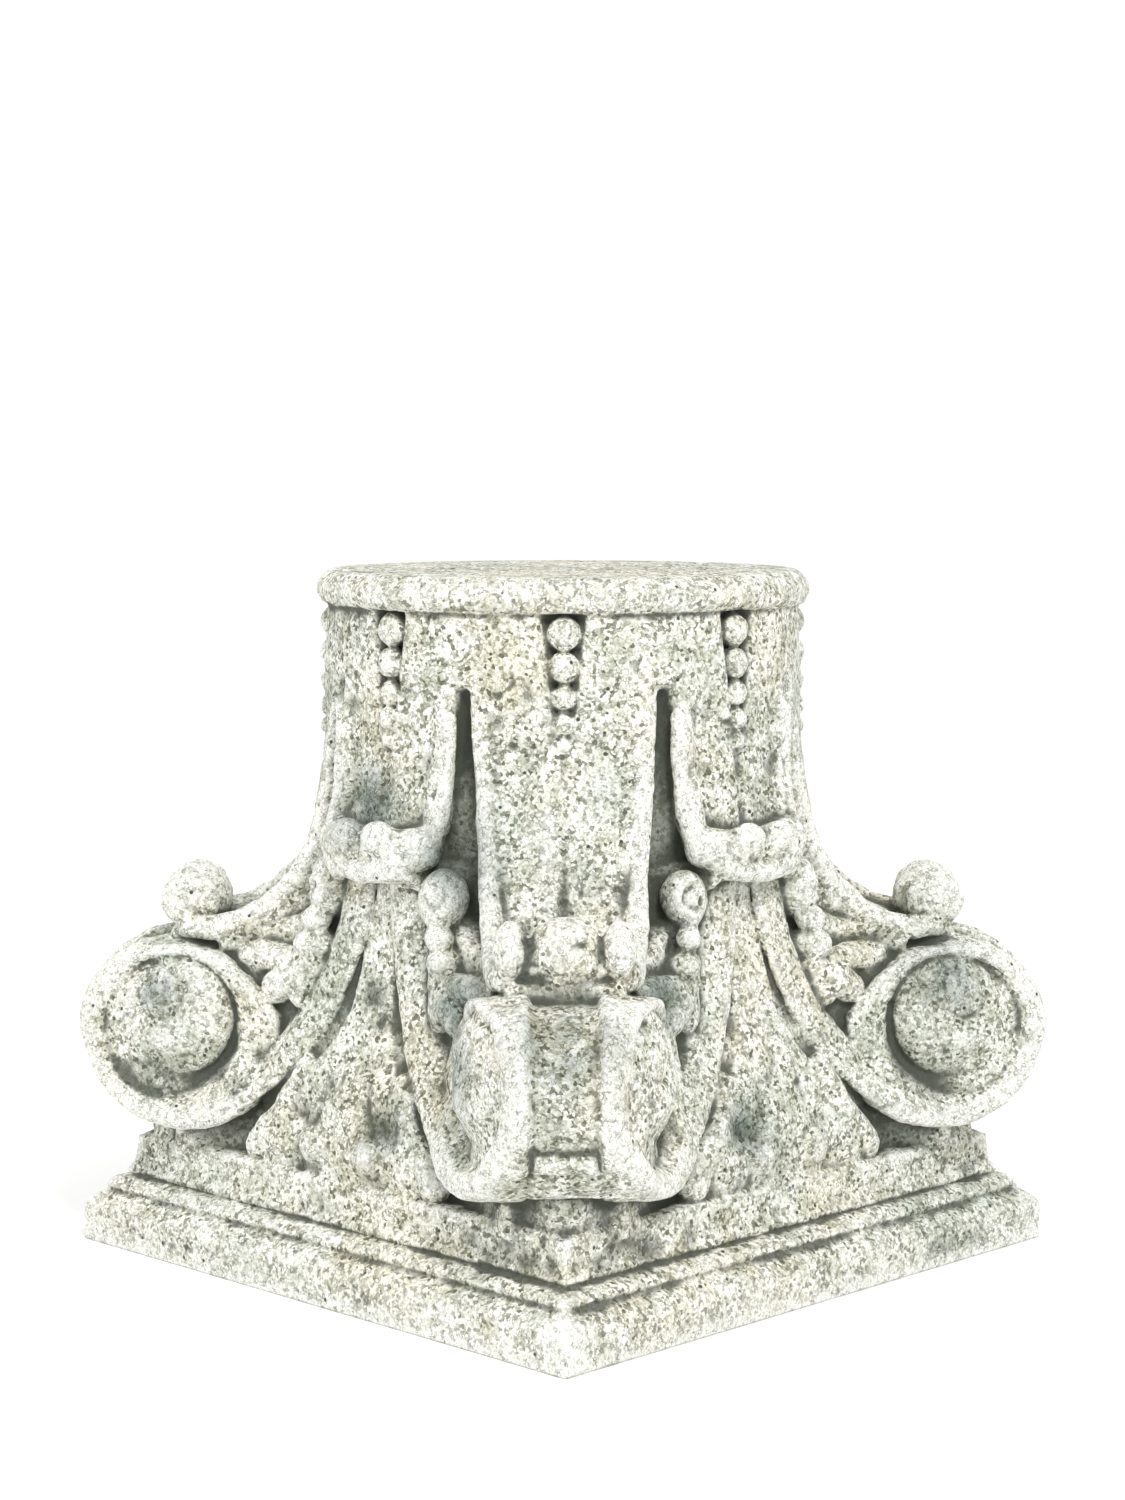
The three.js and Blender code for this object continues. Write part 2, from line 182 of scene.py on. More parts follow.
# Damp stains seen in the photograph: middle and reach
STAINS = [((-0.03, -0.36, 0.665), 0.060), ((0.47, -0.47, 0.430), 0.070), ((0.085, -0.43, 0.245), 0.045)]
STAINS += [((0.20, -0.40, 0.43), 0.070), ((0.134, -0.332, 0.60), 0.060), ((0.47, 0.30, 0.40), 0.050)]
STAINS += [((0.43, -0.085, 0.245), 0.040), ((0.40, -0.22, 0.44), 0.050), ((0.28, -0.46, 0.34), 0.050)]
STAINS += [((-0.316, -0.500, 0.390), 0.035)]

# Scales of the stone's patterns, from broad patches down to the finest grain
PATCH_SCALE = 14.0
CLOUD_SCALE = 60.0
PIT_SCALE = 105.0
BREAK_SCALE = 230.0
CURL_SCALE = 420.0
GRAIN_SCALE = 500.0
FINE_SCALE = 650.0
CURL = 0.0024

# Colours of the stone: grains from dark specks to pale sand, then what is laid over them
GRAIN_SHADES = [(0.0, (0.16, 0.165, 0.12)), (0.12, (0.35, 0.35, 0.29)), (0.28, (0.62, 0.62, 0.545))]
GRAIN_SHADES += [(0.48, (0.82, 0.82, 0.755)), (0.75, (0.92, 0.92, 0.875)), (1.0, (0.985, 0.985, 0.96))]
CLOUD_SHADES = [(0.36, (0.62, 0.63, 0.55)), (0.56, (1, 1, 1))]
PATCH_SHADES = [(0.34, (0.66, 0.71, 0.67)), (0.50, (1, 1, 0.99)), (0.66, (0.97, 0.91, 0.81))]
FINE_SHADES = [(0.37, (0.45, 0.45, 0.40)), (0.54, (1, 1, 1))]
SEAM_SHADES = [(0.04, (0.33, 0.33, 0.28)), (0.18, (1, 1, 1))]
# Painted highlight for edges and swellings, which are also worn a little pale
WORN_EDGE_HIGHLIGHT = (0.90, 0.90, 0.865, 1)
WORN_SWELL_HIGHLIGHT = (0.93, 0.93, 0.895, 1)
DAMP_SHADE = (0.26, 0.31, 0.31, 1)
# Painted shade for wide hollows
PAINTED_HOLLOW_SHADE = (0.080, 0.092, 0.072, 1)
PIT_SHADE = (0.060, 0.062, 0.050, 1)
# Painted shade for narrow creases
PAINTED_CREASE_SHADE = (0.070, 0.076, 0.058, 1)

# Camera, solved from the photograph in plinth widths
CAMERA_TURN = math.radians(44.69)
CAMERA_DISTANCE = 4.5025
CAMERA_HEIGHT = 1.1614
CAMERA_PITCH = 0.0974
CAMERA_LENS = 74.83
SENSOR_WIDTH = 36

# Floor, sky and lamps, in metres and watts: name, place, size and power
FLOOR_REACH = 14.0
FLOOR_SHADE = (0.96, 0.96, 0.955)
SKY_STRENGTH = 1.05
LAMP_AIM = (0, 0, 0.18)
LAMPS = [("key", (1.84, -1.06, 2.12), 0.5, 39), ("side", (-0.7, -2.3, 1.3), 0.9, 11)]


# Joining, cutting and measuring distance fields, which are below zero inside the stone


def join(p, q, soft):
    t = np.clip(0.5 + 0.5 * (q - p) / soft, 0, 1)
    return q * (1 - t) + p * t - soft * t * (1 - t)


def meet(p, q, soft):
    return -join(-p, -q, soft)


def cut(p, q, soft):
    return -join(-p, q, soft)


def ramp(value, start, end):
    t = np.clip((value - start) / (end - start), 0, 1)
    return t * t * (3 - 2 * t)


def bump(value):
    return np.exp(-value * value)


def follow(value, line):
    # Height of a broken line, given as pairs of place and height, at each value.
    places, heights = zip(*line)
    return np.interp(value, places, heights)


def blob(p, q, r, centre, radii):
    x, y, z = ((v - c) / s for v, c, s in zip((p, q, r), centre, radii))
    near = np.sqrt(x * x + y * y + z * z)
    return (near - 1) * min(radii)


def bezier(points, steps):
    p, q, r, s = (np.array(v, float) for v in points)
    t = np.linspace(0, 1, steps)[:, None]
    u = 1 - t
    return u**3 * p + 3 * u * u * t * q + 3 * u * t * t * r + t**3 * s


def along(path, *at):
    # Distance to a broken line, and how far along it the nearest point lies, from 0 to 1.
    path = np.array(path, float)
    lengths = np.linalg.norm(np.diff(path, axis=0), axis=1)
    starts = np.concatenate([[0], np.cumsum(lengths)])
    best = None
    for first, last, start, length in zip(path[:-1], path[1:], starts, lengths):
        step = last - first
        t = sum((v - f) * s for v, f, s in zip(at, first, step)) / length**2
        t = np.clip(t, 0, 1)
        gap = sum((v - f - s * t) ** 2 for v, f, s in zip(at, first, step))
        place = (start + t * length) / starts[-1]
        if best is None:
            best, nearest = gap, place
        else:
            closer = gap < best
            nearest = np.where(closer, place, nearest)
            best = np.where(closer, gap, best)
    return np.sqrt(best), nearest


def unit_run(line):
    # Direction of a line at each of its points.
    run = np.gradient(line, axis=0)
    return run / np.linalg.norm(run, axis=1)[:, None]


class Quarter:
    # One quarter of the block, from its axis to one corner, as a grid of distances. Only the half of
    # it where x is at least y is carved; the other half is its mirror image.
    def __init__(self):
        pitch = VOXEL / PLINTH_WIDTH
        across = math.ceil(GRID_REACH / pitch)
        upward = math.ceil(GRID_HEIGHT / pitch) + CELLS_BELOW
        self.x = ((np.arange(across) + 0.5) * pitch)[:, None, None]
        self.y = ((np.arange(across) + 0.5) * pitch)[None, :, None]
        self.z = ((np.arange(upward) - CELLS_BELOW + 0.5) * pitch)[None, None, :]
        self.field = np.full((across, across, upward), OPEN_AIR, np.float32)

    def window(self, *ranges):
        spans = []
        for values, (low, high) in zip((self.x, self.y, self.z), ranges):
            found = np.nonzero((values.ravel() >= low) & (values.ravel() <= high))[0]
            spans.append(slice(found[0], found[-1] + 1))
        return tuple(spans), self.x[spans[0]], self.y[:, spans[1]], self.z[:, :, spans[2]]

    def put(self, spans, shape, soft, how):
        there = self.field[spans]
        self.field[spans] = how(there, np.broadcast_to(shape, there.shape), soft)

    def on_corner(self, shape, out, side, up, soft, how=join):
        # shape(a, b, z): a runs out along the diagonal, b away from it to either side.
        x_range = (out[0] * ROOT_HALF, (out[1] + side) * ROOT_HALF)
        y_range = (max((out[0] - side) * ROOT_HALF, 0), out[1] * ROOT_HALF)
        spans, x, y, z = self.window(x_range, y_range, up)
        self.put(spans, shape((x + y) * ROOT_HALF, np.abs(x - y) * ROOT_HALF, z), soft, how)

    def on_side(self, shape, out, side, up, soft, how=join):
        # shape(n, u, z): n runs out square to the side, u away from its middle to either side.
        spans, x, y, z = self.window(out, (0, side), up)
        self.put(spans, shape(x, y, z), soft, how)

    def everywhere(self, shape, up, soft, how=join):
        spans, x, y, z = self.window((0, 1), (0, 1), up)
        self.put(spans, shape(x, y, z), soft, how)

    def whole(self):
        quarter = np.where(self.x >= self.y, self.field, self.field.transpose(1, 0, 2))
        half = np.concatenate([quarter[::-1], quarter], axis=0)
        return np.concatenate([half[:, ::-1], half], axis=1)


# Plinth, bell and neck


def carve_bell(stone):
    def body(x, y, z):
        radius = np.sqrt(x * x + y * y)
        side = radius - follow(z, BELL_PROFILE + RING_PROFILE)
        return meet(meet(side * 0.9, z - TOP, 0.005), BELL_FOOT - z, 0.002)

    stone.everywhere(body, up=(0.11, 1.01), soft=0.012)


def carve_plinth(stone):
    def body(x, y, z):
        side = (x - follow(z, PLINTH_PROFILE)) * SLOPED
        return meet(meet(side, z - PLINTH_HEIGHT, 0.006), -z, 0.003)

    stone.everywhere(body, up=(-1, 0.22), soft=0.001)


# Leaves, slots and beads


def neck_curve(b):
    # How far the round neck falls back at a distance b from a leaf's middle.
    return NECK - np.sqrt(NECK * NECK - np.minimum(b, 0.3) ** 2)


def thick_line(surface, thickness):
    # The middle line of a leaf whose outer face follows the surface line.
    surface = np.array(surface)
    run = unit_run(surface)
    inward = np.stack([run[:, 1], -run[:, 0]], 1)
    return surface + inward * thickness


def leaf_field(path, halves, thickness, hollow, limit=None):
    # A dished leaf with a raised rim and a sunk middle vein, both beginning a little below its head.
    def body(a, b, z):
        gap, place = along(path, a + neck_curve(b), z)
        half = halves[0] + (halves[1] - halves[0]) * place
        if limit:
            half = np.minimum(half, limit(a, z))
        inside = b / half
        started = ramp(place, 0.05, 0.22)
        rim = LEAF_RIM * bump((inside - 0.90) / 0.09)
        dish = hollow * (1 - np.clip(inside, 0, 1) ** 4)
        vein = LEAF_VEIN * bump(b / 0.008) * ramp(place, 0.20, 0.35)
        gap = gap - thickness - (rim - dish - vein) * started
        return meet(gap, b - half, 0.010)

    return body


def carve_corner_leaf(stone):
    face = bezier([(NECK + 0.001, 0.86), (NECK + 0.004, 0.60), (0.395, 0.512), (0.470, 0.493)], 22)
    tray = [(0.480, 0.4680), (0.505, 0.4630), (0.526, 0.4630)]
    path = np.concatenate([thick_line(face, 0.0215)[:-1], tray])

    def rounded(a, z):
        # The turned-up end has round lower corners.
        low = np.clip((0.512 - z) / 0.060, 0, 1)
        return 0.30 - (0.30 - 0.060 - 0.046 * np.sqrt(1 - low * low)) * ramp(a, 0.455, 0.500)

    body = leaf_field(path, CORNER_LEAF_HALF, CORNER_LEAF_THICKNESS, CORNER_LEAF_HOLLOW, rounded)
    stone.on_corner(body, out=(0.20, 0.60), side=0.15, up=(0.42, 0.87), soft=0.004)

    def tip(a, b, z):
        middle = blob(a, b, z, (0.530, 0, 0.510), (0.0495, 0.050, 0.0490))
        lobe = blob(a, b, z, (0.534, 0.070, 0.514), (0.0430, 0.0235, 0.0400))
        neck = blob(a, b, z, (0.526, 0, 0.496), (0.038, 0.088, 0.034))
        return join(join(middle, neck, 0.004), lobe, 0.003)

    stone.on_corner(tip, out=(0.45, 0.60), side=0.11, up=(0.44, 0.58), soft=0.008)

    def cushion(a, b, z):
        # The stone left between the leaf's end and the scroll below it.
        return meet(meet(a - 0.562, b - 0.078, 0.012), meet(z - 0.474, 0.40 - z, 0.004), 0.008)

    stone.on_corner(cushion, out=(0.36, 0.58), side=0.09, up=(0.39, 0.49), soft=0.008)

    def hem(a, b, z):
        # The leaf's rolled edge, which turns up round the side of the tip.
        line = [(0.322, 0.120, 0.79), (0.325, 0.115, 0.72), (0.333, 0.110, 0.66), (0.350, 0.104, 0.60)]
        line += [(0.382, 0.098, 0.545), (0.420, 0.094, 0.506), (0.462, 0.090, 0.484), (0.505, 0.086, 0.474)]
        line += [(0.532, 0.078, 0.477)]
        gap, place = along(line, a, b, z)
        return gap - 0.0060 - 0.0110 * ramp(place, 0.2, 0.7)

    stone.on_corner(hem, out=(0.28, 0.60), side=0.15, up=(0.44, 0.82), soft=0.005)


def carve_side_leaf(stone):
    face = bezier([(NECK + 0.001, 0.86), (NECK + 0.003, 0.72), (0.350, 0.640), (0.382, 0.592)], 16)
    path = thick_line(face, SIDE_LEAF_THICKNESS)
    body = leaf_field(path, SIDE_LEAF_HALF, SIDE_LEAF_THICKNESS, SIDE_LEAF_HOLLOW)
    stone.on_side(body, out=(0.20, 0.42), side=0.14, up=(0.55, 0.87), soft=0.004)

    def hem(n, u, z):
        # The raised rim runs down the leaf's edge and hooks inwards under the roll: radius, side, height.
        line = [(0.344, 0.108, 0.795), (0.346, 0.106, 0.72), (0.352, 0.103, 0.67), (0.363, 0.098, 0.632)]
        line += [(0.378, 0.083, 0.604), (0.385, 0.058, 0.589), (0.386, 0.0, 0.584)]
        points = [(math.sqrt(radius * radius - side * side), side, up) for radius, side, up in line]
        gap, place = along(points, n, u, z)
        return gap - 0.0125 - 0.0055 * ramp(place, 0.25, 0.75)

    stone.on_side(hem, out=(0.28, 0.41), side=0.14, up=(0.56, 0.81), soft=0.005)

    def roll(n, u, z):
        gap, _ = along([(0.366, 0, 0.611), (0.371, 0.050, 0.612), (0.357, 0.084, 0.618)], n, u, z)
        knob = blob(n, u, z, (0.389, 0.031, 0.631), (0.021, 0.026, 0.022))
        return join(gap - 0.0295, knob, 0.010)

    stone.on_side(roll, out=(0.30, 0.44), side=0.13, up=(0.56, 0.67), soft=0.004)


def carve_slots(stone):
    def hole(a, b, z):
        turn = np.arctan2(b, a)
        radius = np.sqrt(a * a + b * b)
        gap = np.sqrt(((turn - SLOT_TURN) * radius) ** 2 + (z - SLOT_UP) ** 2)
        return meet(gap - SLOT_RADIUS, SLOT_BACK - radius, 0.004)

    stone.on_corner(hole, out=(0.25, 0.36), side=0.18, up=(0.79, 0.86), soft=0.004, how=cut)


def carve_beads(stone):
    def groove(a, b, z):
        half = GROOVE_HALF * np.clip((z - GROOVE_FOOT) / (GROOVE_HEAD - GROOVE_FOOT), 0, 1) ** 0.55
        radius = np.sqrt(a * a + b * b)
        wedge = (b + np.maximum(NECK + 0.004 - radius, 0) * 0.7 - half) * SLOPED
        return meet(meet(wedge, z - 0.936, 0.003), NECK - GROOVE_BACK - radius, 0.004)

    def string(a, b, z):
        top = BEAD_TOP
        shape = None
        for bead in BEAD_RADII:
            centre = top - bead
            out = NECK + BEAD_PROUD - bead
            ball = np.sqrt((a - out) ** 2 + b * b + (z - centre) ** 2) - bead
            shape = ball if shape is None else np.minimum(shape, ball)
            top -= bead * BEAD_SPACING
        return shape

    for put in (stone.on_corner, stone.on_side):
        for part, how in ((groove, cut), (string, join)):
            put(part, out=(0.28, 0.37), side=0.06, up=(0.72, 0.95), soft=0.003, how=how)


# Scrolls


def side_face(a, z):
    # The splayed face of the scrolls and stems: how far from the diagonal it lies.
    waist = 0.014 * ramp(z, 0.245, 0.310) * ramp(a, 0.610, 0.690)
    foot = 0.008 * bump((z - 0.225) / 0.030) * ramp(a, 0.610, 0.660)
    shoulder = 0.012 * ramp(z, 0.370, 0.440) * ramp(a, 0.560, 0.620)
    return EDGE_HALF + SPLAY * (REACH - a) - 0.05 * (z - 0.30) - waist - shoulder + foot


def around_scroll(a, z):
    out, up = a - SCROLL_OUT, z - SCROLL_UP
    turn = np.degrees(np.arctan2(out, -up))
    return np.sqrt(out * out + up * up), np.where(turn < SCROLL_START, turn + 360, turn)


def scroll_band(a, z):
    # The raised band round a scroll and the floor inside it, measured from the splayed face.
    radius, turn = around_scroll(a, z)
    outer = follow(turn, SCROLL_EDGE)
    inner = follow(turn, BAND_INNER)
    middle, half = (outer + inner) / 2, (outer - inner) / 2
    across = np.abs(radius - middle) / half
    slope = np.maximum(np.abs(radius - middle) - half * 0.8, 0)
    band = follow(turn, BAND_CREST) + 0.004 * (1 - np.minimum(across, 1) ** 2) - slope * 1.5
    return np.where(radius < middle, np.maximum(band, follow(turn, BAND_FLOOR)), band)


def scroll_boss(a, z):
    away = np.sqrt((a - BOSS_OUT) ** 2 + (z - BOSS_UP) ** 2)
    dome = -BOSS_SUNK + BOSS_RISE * np.clip(1 - (away / BOSS) ** 2.6, 0, 1) ** 0.55
    return dome + 0.011 * bump((a - BOSS_OUT) / 0.050) * bump((z - 0.318) / 0.026)


def spiral_laps(a, z):
    # A spiral groove round the scroll's eye, a lap and a quarter long: 1 in it, falling to 0 beside it.
    out, up = a - EYE_OUT, z - EYE_UP
    reach = np.sqrt(out * out + up * up)
    lap = (90 - np.degrees(np.arctan2(up, out))) % 360
    for turned in (lap, lap + 360):
        yield bump((reach - 0.023 - 0.000052 * turned) / 0.0048) * (1 - ramp(turned, 400, 470))


def scroll_relief(a, z):
    relief = join(-scroll_band(a, z), -scroll_boss(a, z), 0.004) * -1
    for groove in spiral_laps(a, z):
        relief = relief - SPIRAL_DEPTH * groove
    return relief


def carve_scrolls(stone):
    def drum(a, b, z):
        face = (b - side_face(a, z) - scroll_relief(a, z)) * SLOPED
        radius, turn = around_scroll(a, z)
        channel = CHANNEL_DEPTH * (1 - ramp(b, CHANNEL_HALF - 0.010, CHANNEL_HALF + 0.003))
        shoulder = 0.010 * ramp(b, 0.055, 0.110) * ramp(turn, 130, 160) * (1 - ramp(turn, 195, 220))
        rim = radius - follow(turn, SCROLL_EDGE) + channel + shoulder
        return meet(face, rim, 0.010)

    stone.on_corner(drum, out=(0.38, 0.72), side=0.25, up=(0.15, 0.49), soft=0.003)

    def tongue(a, b, z):
        # Closes the hollow edge at the scroll's foot, split off by a groove on either side.
        radius, turn = around_scroll(a, z)
        half = 0.036 + 0.012 * np.clip((70 - turn) / 35, 0, 1)
        body = meet(radius - follow(turn, SCROLL_EDGE) - 0.001, (turn - 64) * 0.0024, 0.004)
        body = meet(body, (22 - turn) * 0.0024, 0.004)
        lip = 0.004 * bump((turn - 50) / 2.5)
        return meet(body + lip, b - half, 0.004)

    stone.on_corner(tongue, out=(0.58, 0.72), side=0.06, up=(0.16, 0.34), soft=0.002)

    def seat(a, b, z):
        # The stone the scroll's foot rests on.
        sides = meet(a - 0.600, (a + b) * ROOT_HALF - 0.437, 0.010)
        return meet(meet(sides, b - 0.085, 0.010), z - 0.205, 0.004)

    stone.on_corner(seat, out=(0.44, 0.62), side=0.10, up=(0.14, 0.22), soft=0.004)


# Stems, husks and palmettes


def stem_line():
    # Outer edge of a stem: down from the bell, out along the scroll's foot.
    def on_rim(turn):
        angle = math.radians(turn)
        radius = float(follow(turn, SCROLL_EDGE))
        return SCROLL_OUT + radius * math.sin(angle), SCROLL_UP - radius * math.cos(angle)

    meeting = math.radians(-25)
    end = on_rim(-25)
    before = (end[0] - 0.13 * math.cos(meeting), end[1] - 0.13 * math.sin(meeting))
    edge = bezier([(0.258, 0.575), (0.268, 0.40), before, end], 14)
    return np.concatenate([edge, [on_rim(-12), on_rim(0)]])


def carve_stems(stone):
    edge = stem_line()
    run = unit_run(edge)
    left = np.stack([-run[:, 1], run[:, 0]], 1)
    path = edge + left * STEM_HALF

    def body(a, b, z):
        gap, place = along(path, a, z)
        inner, _ = along(edge, a, z)
        across = np.clip(inner / (2 * STEM_HALF), 0, 1)
        narrow = STEM_HALF - 0.004 * ramp(place, 0.70, 0.95)
        flat = 1 - ramp(place, 0.60, 0.90)
        lift = -0.002 - 0.024 * flat * across**1.5 - 0.004 * (1 - bump((across - 0.35) / 0.40))
        face = (b - side_face(a, z) - lift) * SLOPED
        return meet(meet(gap - narrow, face, 0.008), 0.02 - b, 0.002)

    stone.on_corner(body, out=(0.22, 0.60), side=0.30, up=(0.15, 0.60), soft=0.003)

    def ground(a, b, z):
        # The plain ground between stem, scroll and leaf.
        top = follow(a, [(0.30, 0.53), (0.36, 0.505), (0.45, 0.470), (0.55, 0.455)])
        sunk = 0.054 + 0.008 * ramp(a, 0.37, 0.41) + 0.014 * ramp(z, 0.415, 0.46)
        body = meet((b - side_face(a, z) + sunk) * 0.85, z - top, 0.01)
        return meet(meet(body, a - 0.56, 0.004), 0.14 - z, 0.002)

    stone.on_corner(ground, out=(0.10, 0.60), side=0.26, up=(0.13, 0.56), soft=0.006)


def carve_husks(stone):
    def curl(a, b, z):
        # A round end with a spiral groove on the face it turns outwards.
        out = (a - HUSK_OUT) * HUSK_FACING[0] + (b - HUSK_SIDE) * HUSK_FACING[1]
        side = (a - HUSK_OUT) * HUSK_FACING[1] - (b - HUSK_SIDE) * HUSK_FACING[0]
        up = z - HUSK_UP
        wide = 0.034 - 0.010 * ramp(-up, -0.01, 0.05)
        lump = (np.sqrt((out / 0.039) ** 2 + (side / wide) ** 2 + (up / 0.044) ** 2) - 1) * 0.028
        reach = np.sqrt(side * side + (up - 0.006) ** 2)
        lap = (np.degrees(np.arctan2(up - 0.006, side)) + 200) % 360
        groove = bump((reach - 0.008 - 0.000035 * lap) / 0.0040) * (1 - ramp(lap, 270, 340))
        return lump + 0.006 * groove * ramp(out, 0.0, 0.02)

    def knob(a, b, z):
        return blob(a, b, z, (0.347, 0.168, 0.500), (0.022, 0.0190, 0.0185))

    def bud(a, b, z):
        return blob(a, b, z, (0.346, 0.160, 0.465), (0.034, 0.0265, 0.0235))

    def leaf(a, b, z):
        root = (0.345, 0.168, 0.440)
        points = [(0.368, 0.163, 0.392), (0.404, 0.138, 0.398), (0.444, 0.098, 0.438)]
        shape = None
        for point, width in zip(points, (0.0185, 0.0235, 0.0200)):
            gap, place = along([root, point], a, b, z)
            lobe = gap - width * (0.70 + 0.55 * place - 0.9 * np.clip(place - 0.55, 0, 1) ** 1.5)
            shape = lobe if shape is None else join(shape, lobe, 0.006)
        return shape

    for part, up in ((curl, (0.49, 0.60)), (knob, (0.47, 0.53)), (bud, (0.44, 0.50)), (leaf, (0.36, 0.47))):
        stone.on_corner(part, out=(0.26, 0.50), side=0.25, up=up, soft=0.006)


def carve_palmettes(stone):
    heights, halves, faces = zip(*PALMETTE)

    def bed(n, u, z):
        # The ground the palmette lies on, which reaches under the stems.
        half = np.interp(z, heights, halves) + BED_MARGIN
        face = np.interp(z, heights, faces) - 0.011 - 0.03 * ramp(u, 0.12, 0.26)
        return meet((n - face) * SLOPED, (u - half) * 0.75, 0.010)

    def panel(n, u, z):
        half = np.interp(z, heights, halves)
        face = np.interp(z, heights, faces)
        fan = np.degrees(np.arctan2(u, FAN_UP - z))
        reach = np.sqrt(u * u + (FAN_UP - z) ** 2)
        petals = 0.009 * np.abs(np.cos(np.radians(fan / PETAL_TURN * 90))) ** 0.5 - 0.006
        face = face + petals * ramp(reach, 0.09, 0.15) - 0.010 * ramp(u, 0.12, 0.205)
        return meet((n - face) * SLOPED, (u - half) * 0.75, 0.010)

    def petal(n, u, z):
        gap, place = along([(0.412, 0.132, 0.244), (0.420, 0.162, 0.208), (0.420, 0.180, 0.180)], n, u, z)
        return gap - 0.015 - 0.009 * place

    def fold(n, u, z):
        line = [(0.405, 0.088, 0.305), (0.418, 0.112, 0.250), (0.420, 0.118, 0.188)]
        gap, place = along(line, n, u * 0.9, z)
        return gap - 0.013 - 0.009 * place

    def hollow(n, u, z):
        return blob(n, u, z, (0.462, 0.083, 0.244), (0.037, 0.040, 0.032))

    def ball(n, u, z):
        return blob(n, u, z, (0.430, 0.055, 0.200), (0.020, 0.028, 0.028))

    stone.on_side(bed, out=(0.28, 0.46), side=0.25, up=(0.14, 0.50), soft=0.010)
    stone.on_side(panel, out=(0.30, 0.46), side=0.23, up=(0.14, 0.57), soft=0.004)
    stone.on_side(petal, out=(0.38, 0.47), side=0.22, up=(0.14, 0.29), soft=0.003)
    stone.on_side(fold, out=(0.38, 0.47), side=0.16, up=(0.15, 0.33), soft=0.006)
    stone.on_side(hollow, out=(0.38, 0.50), side=0.13, up=(0.20, 0.29), soft=0.012, how=cut)
    stone.on_side(ball, out=(0.38, 0.47), side=0.10, up=(0.15, 0.24), soft=0.003)


def carve():
    stone = Quarter()
    carve_bell(stone)
    carve_plinth(stone)
    carve_side_leaf(stone)
    carve_corner_leaf(stone)
    carve_slots(stone)
    carve_beads(stone)
    carve_stems(stone)
    carve_scrolls(stone)
    carve_husks(stone)
    carve_palmettes(stone)
    return stone


# Skin, wear and the maps that colour the stone


def cell_corners(part):
    # The eight corners of a cell, each with its share in a point at that part of the cell.
    for corner in range(8):
        step = np.array([corner & 1, corner >> 1 & 1, corner >> 2 & 1])
        yield step, np.prod(np.where(step, part, 1 - part), axis=1)


def hashed(cell, seed):
    # A value from -1 to 1 that is always the same for the same cell and seed.
    code = seed * SEED_FACTOR
    for axis, factor in enumerate(AXIS_FACTORS):
        code = code ^ cell[:, axis] * factor
    code = (code ^ (code >> 13)) * MIX_FACTOR & 0xFFFFFFFF
    code = code ^ (code >> 16)
    return (code & 0xFFFF) / 32767.5 - 1


def lattice_noise(points, size, seed):
    # Smooth noise from -1 to 1 with lumps of about the given size.
    cell = points / size
    low = np.floor(cell).astype(np.int64)
    part = cell - low
    part = part * part * (3 - 2 * part)
    total = np.zeros(len(points))
    for step, share in cell_corners(part):
        total += hashed(low + step, seed) * share
    return total


def blurred(solid, reach, rounds=2):
    # Box blur along the three axes, by running sums.
    for _ in range(rounds):
        for axis in range(3):
            pad = [(0, 0)] * 3
            pad[axis] = (reach + 1, reach)
            sums = np.cumsum(np.pad(solid, pad, mode="edge"), axis=axis, dtype=np.float32)
            length = solid.shape[axis]
            high = np.take(sums, range(2 * reach + 1, 2 * reach + 1 + length), axis=axis)
            low = np.take(sums, range(length), axis=axis)
            solid = (high - low) / (2 * reach + 1)
    return solid


def sampled(grid, points):
    # Trilinear reading of a grid at points given in grid steps.
    limit = np.array(grid.shape) - 2
    low = np.clip(np.floor(points).astype(int), 0, limit)
    part = np.clip(points - low, 0, 1)
    total = np.zeros(len(points))
    for step, share in cell_corners(part):
        at = low + step
        total += grid[at[:, 0], at[:, 1], at[:, 2]] * share
    return total


def mesh_from(points, faces, name):
    mesh = bpy.data.meshes.new(name)
    mesh.vertices.add(len(points))
    mesh.vertices.foreach_set("co", points.astype(np.float32).ravel())
    mesh.loops.add(faces.size)
    mesh.loops.foreach_set("vertex_index", faces.astype(np.int32).ravel())
    mesh.polygons.add(len(faces))
    mesh.polygons.foreach_set("loop_start", np.arange(len(faces), dtype=np.int32) * faces.shape[1])
    mesh.update(calc_edges=True)
    mesh.validate()
    return mesh


def vectors_of(mesh, kind):
    values = np.zeros(len(mesh.vertices) * 3, np.float32)
    mesh.vertices.foreach_get(kind, values)
    return values.reshape(-1, 3).astype(float)


def skin(stone):
    field = stone.whole()
    grid = openvdb.FloatGrid(float(field.max()))
    grid.copyFromArray(np.ascontiguousarray(field, dtype=np.float32))
    points, _, quads = grid.convertToPolygons(0.0, 0.0)
    middle = np.array([field.shape[0] / 2 - 0.5, field.shape[1] / 2 - 0.5, CELLS_BELOW - 0.5])
    points = (points.astype(float) - middle) * VOXEL
    mesh = mesh_from(points, quads[:, ::-1], "column_base_skin")
    corner = points[quads]
    volume = np.einsum("ij,ij->i", corner[:, 0], np.cross(corner[:, 1], corner[:, 2])).sum()
    if volume > 0:
        mesh.flip_normals()
    return mesh, field, middle


def cavity_maps(field, middle, points):
    # How much stone surrounds each point, near by and further off: over a half in hollows, less on edges.
    solid = np.clip(0.5 - field * PLINTH_WIDTH / VOXEL, 0, 1).astype(np.float32)
    place = points / VOXEL + middle
    near = sampled(blurred(solid, max(1, round(NEAR_REACH / VOXEL))), place)
    far = sampled(blurred(solid, max(2, round(FAR_REACH / VOXEL))), place)
    return near, far


